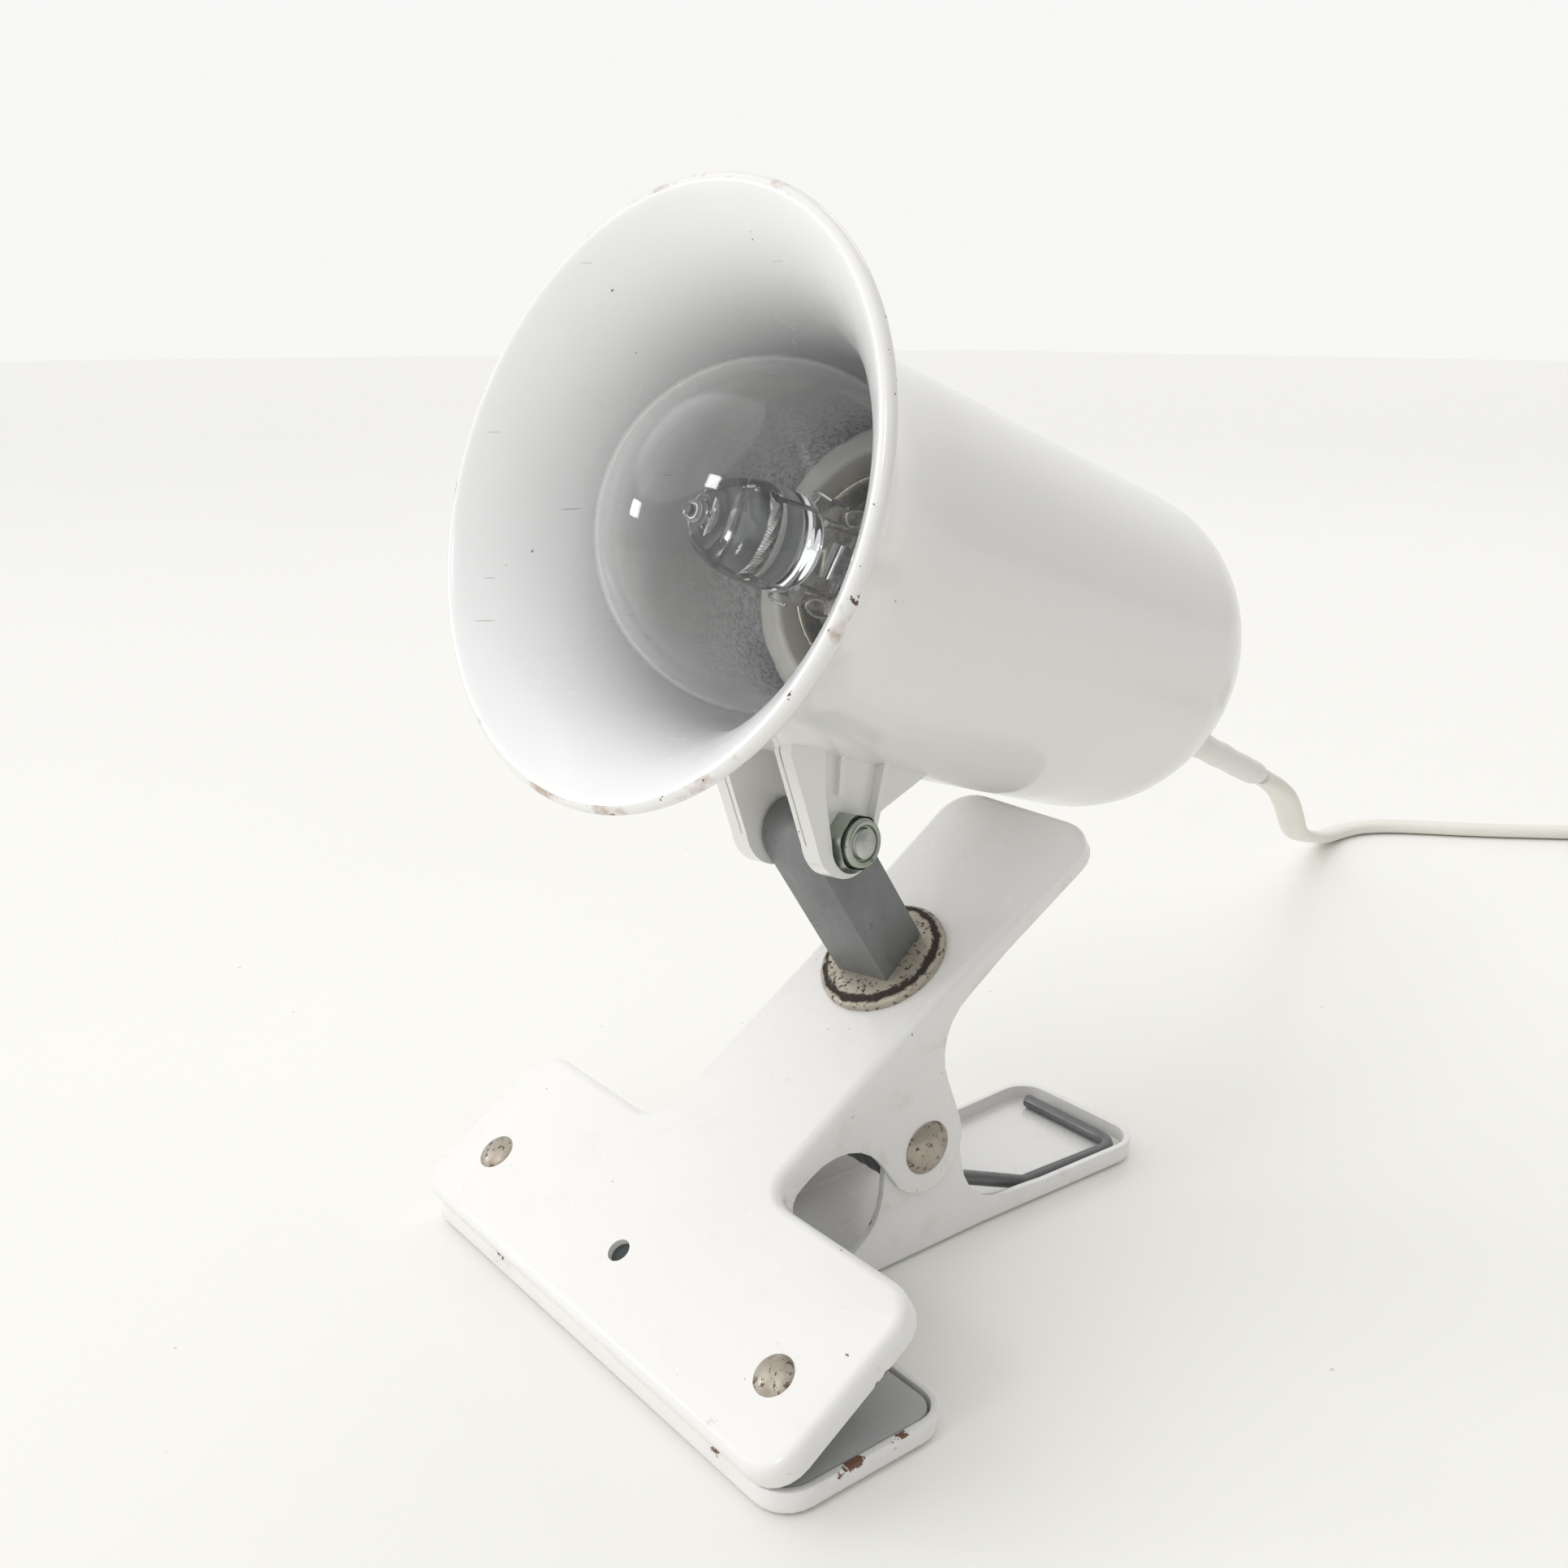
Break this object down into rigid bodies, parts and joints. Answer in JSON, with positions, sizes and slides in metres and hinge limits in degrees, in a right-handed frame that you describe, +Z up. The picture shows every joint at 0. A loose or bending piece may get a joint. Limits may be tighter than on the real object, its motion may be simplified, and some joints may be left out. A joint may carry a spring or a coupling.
{
  "type": "clip on reading lamp",
  "caption": "White clip-on reading lamp: sheet-metal spring clamp with rubber-lined jaws, square swivel arm, trumpet-mouthed shade on a tilt bolt, globe halogen bulb and a flat cord with a plug",
  "frame": {"origin": "Centre of the clamp's lower outer face below the pivot: x = 0 is the clamp's plane of symmetry, z = 0 is the surface the lamp lies on", "axes": "+X along the pivot rivet, -Y out of the jaws, +Z up"},
  "size_m": [0.1504, 0.3566, 0.1442],
  "materials": {
    "enamel_white": "glossy white stove enamel, chipped to rust at some edges",
    "shade_white": "white lacquer over brown moulding, worn at the rim",
    "bar_steel": "dark worn plating with fine scratches",
    "nickel_worn": "aged nickel, spotted brown",
    "zinc_bright": "bright zinc",
    "nut_zinc": "greenish passivated zinc",
    "spring_wire": "dark oiled spring wire",
    "pad_rubber": "matt grey rubber",
    "holder_cream": "cream moulded thermoset",
    "brass_contact": "plain brass",
    "bulb_clear": "clear glass",
    "cap_aluminium": "rolled aluminium",
    "cap_black": "black vitrite",
    "tungsten": "grey wire",
    "cord_white": "white flexible PVC, a little yellowed",
    "plug_white": "white moulded PVC",
    "tie_black": "soft black strap"
  },
  "bodies": {
    "arm": {"pivot_arm": "bar_steel", "swivel_washer": "nickel_worn", "swivel_screw": "zinc_bright", "swivel_spring_washer": "bar_steel", "swivel_under_washer": "zinc_bright", "cord_lead": "cord_white", "cord_coil": "cord_white", "cord_tail": "cord_white", "cord_tie": "tie_black", "plug_body": "plug_white", "plug_pins": "zinc_bright"},
    "head": {"shade": "shade_white", "tilt_bolt": "zinc_bright", "tilt_nut": "nut_zinc", "lampholder_skirt": "holder_cream", "lampholder_core": "holder_cream", "threaded_shell": "brass_contact", "centre_contact": "brass_contact", "terminal_screws": "zinc_bright", "holder_screws": "zinc_bright", "core_wires": "cord_white", "strain_relief": "plug_white", "bulb_glass": "bulb_clear", "bulb_cap": "cap_aluminium", "bulb_cap_insulator": "cap_black", "bulb_cap_contact": "cap_aluminium", "halogen_capsule": "bulb_clear", "capsule_frame": "tungsten", "filament": "tungsten"},
    "upper_half": {"upper_clamp": "enamel_white", "pivot_rivet": "nickel_worn", "upper_jaw_pad": "pad_rubber", "upper_jaw_rivets": "nickel_worn"},
    "lower_half": {"lower_clamp": "enamel_white", "lower_jaw_pad": "pad_rubber", "lower_jaw_rivets": "nickel_worn", "clamp_spring": "spring_wire"}
  },
  "joints": [
    {"name": "shade_tilt", "type": "hinge", "parent": "arm", "child": "head", "pos_m": [0, -0.01064, 0.06237], "axis": [0.9885, 0.1275, 0.0814], "range_deg": [0, 82], "deforming": ["cord_lead"]},
    {"name": "arm_swivel", "type": "hinge", "parent": "arm", "child": "upper_half", "pos_m": [0, 0.00307, 0.04087], "axis": [0, -0.5379, 0.843], "range_deg": [-81, 98]},
    {"name": "clamp_open", "type": "hinge", "parent": "upper_half", "child": "lower_half", "pos_m": [0, 0, 0.0178], "axis": [1, 0, 0], "range_deg": [0, 56], "stiffness_Nm_per_rad": 1.2, "springref_deg": -45.84, "deforming": ["clamp_spring"]}
  ]
}
